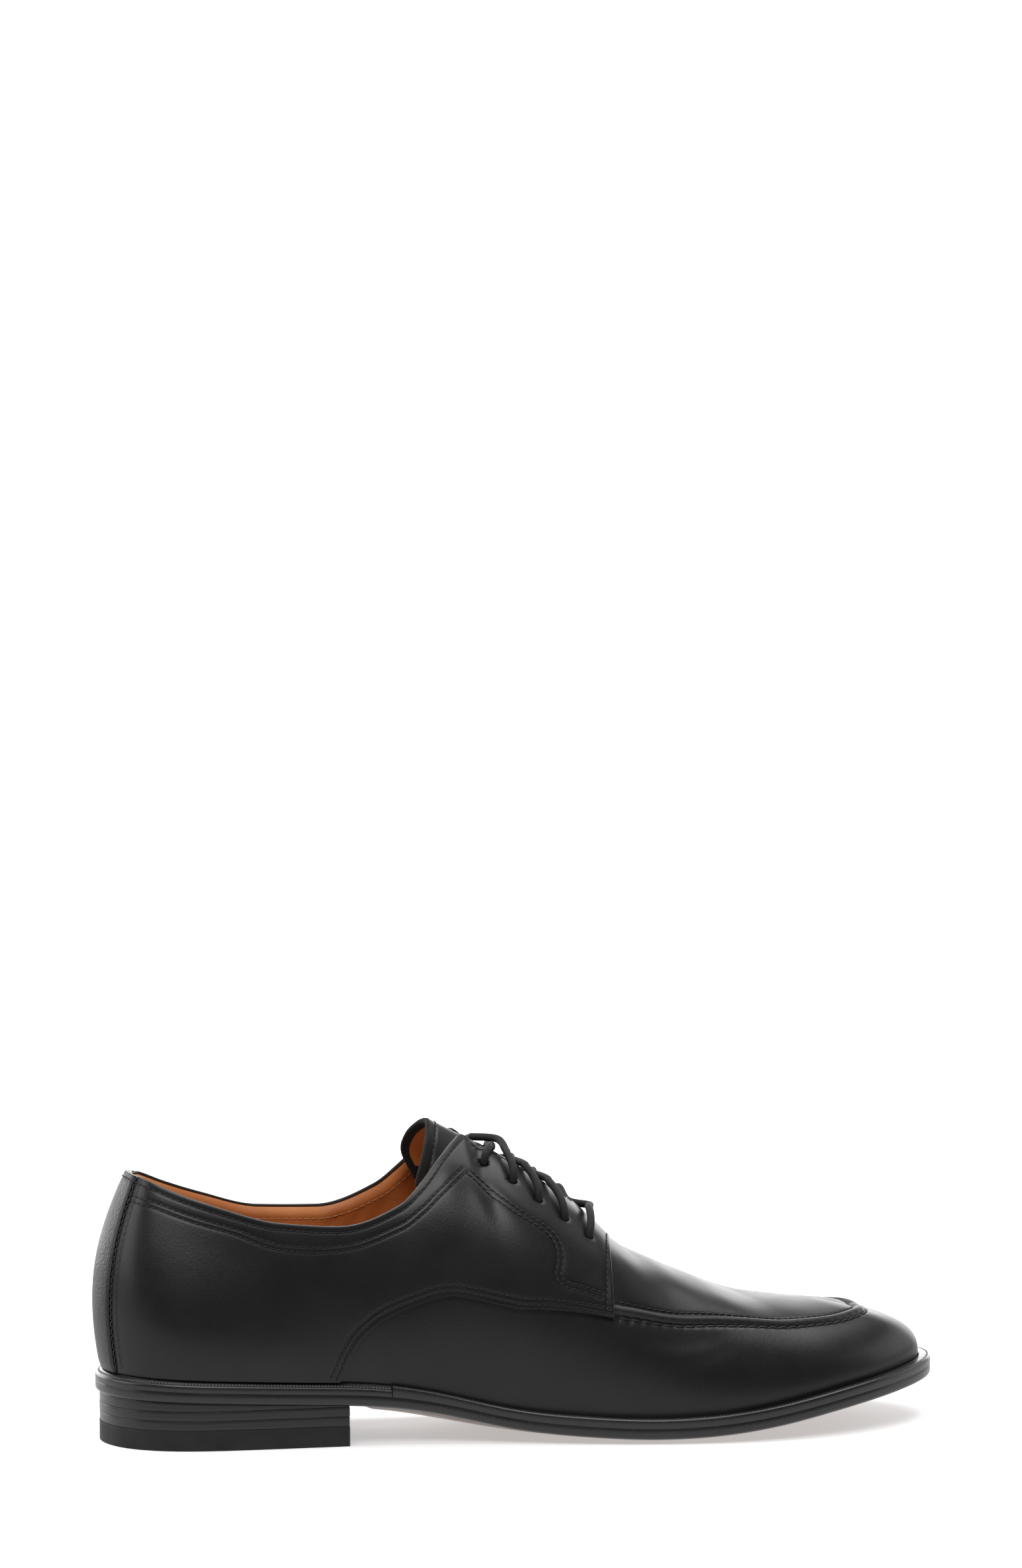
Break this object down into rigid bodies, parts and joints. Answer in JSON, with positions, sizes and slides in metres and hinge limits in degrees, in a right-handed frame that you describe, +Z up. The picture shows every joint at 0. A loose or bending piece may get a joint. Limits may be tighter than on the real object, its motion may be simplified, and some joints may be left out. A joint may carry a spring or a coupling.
{
  "type": "derby shoe",
  "caption": "Black leather lace-up apron toe derby shoe with a low stacked heel, a raised apron seam and open-laced facings.",
  "frame": {"origin": "on the floor under the middle of the shoe's length and width, with the heel's top lift and the forefoot standing at z = 0", "axes": "+X from the heel to the toe, +Y from the outer (lateral) to the inner (medial) side, +Z up"},
  "size_m": [0.3069, 0.1062, 0.1122],
  "materials": {
    "upper": "smooth black calf, satin",
    "quarter_lateral": "smooth black calf, satin",
    "quarter_medial": "smooth black calf, satin",
    "backstay": "smooth black calf, satin",
    "tongue": "smooth black calf, satin",
    "heel_rand": "blacked and waxed edge",
    "welt": "blacked and waxed edge",
    "heel_lift_1": "blacked and waxed edge",
    "heel_lift_2": "blacked and waxed edge",
    "heel_wedge": "blacked and waxed edge",
    "outsole": "oak-tanned sole leather with a blacked edge",
    "insole": "tan leather",
    "top_lift": "matte black rubber",
    "lace_bar": "round waxed black cord",
    "lace_crossing_2": "round waxed black cord",
    "lace_crossing_3": "round waxed black cord",
    "lace_top_flat": "round waxed black cord",
    "lace_top_loop": "round waxed black cord"
  },
  "bodies": {
    "root": {"upper": "upper", "quarter_lateral": "quarter_lateral", "quarter_medial": "quarter_medial", "backstay": "backstay", "tongue": "tongue", "heel_rand": "heel_rand", "welt": "welt", "heel_lift_1": "heel_lift_1", "heel_lift_2": "heel_lift_2", "heel_wedge": "heel_wedge", "outsole": "outsole", "insole": "insole", "top_lift": "top_lift", "lace_bar": "lace_bar", "lace_crossing_2": "lace_crossing_2", "lace_crossing_3": "lace_crossing_3", "lace_top_flat": "lace_top_flat", "lace_top_loop": "lace_top_loop"}
  },
  "joints": []
}
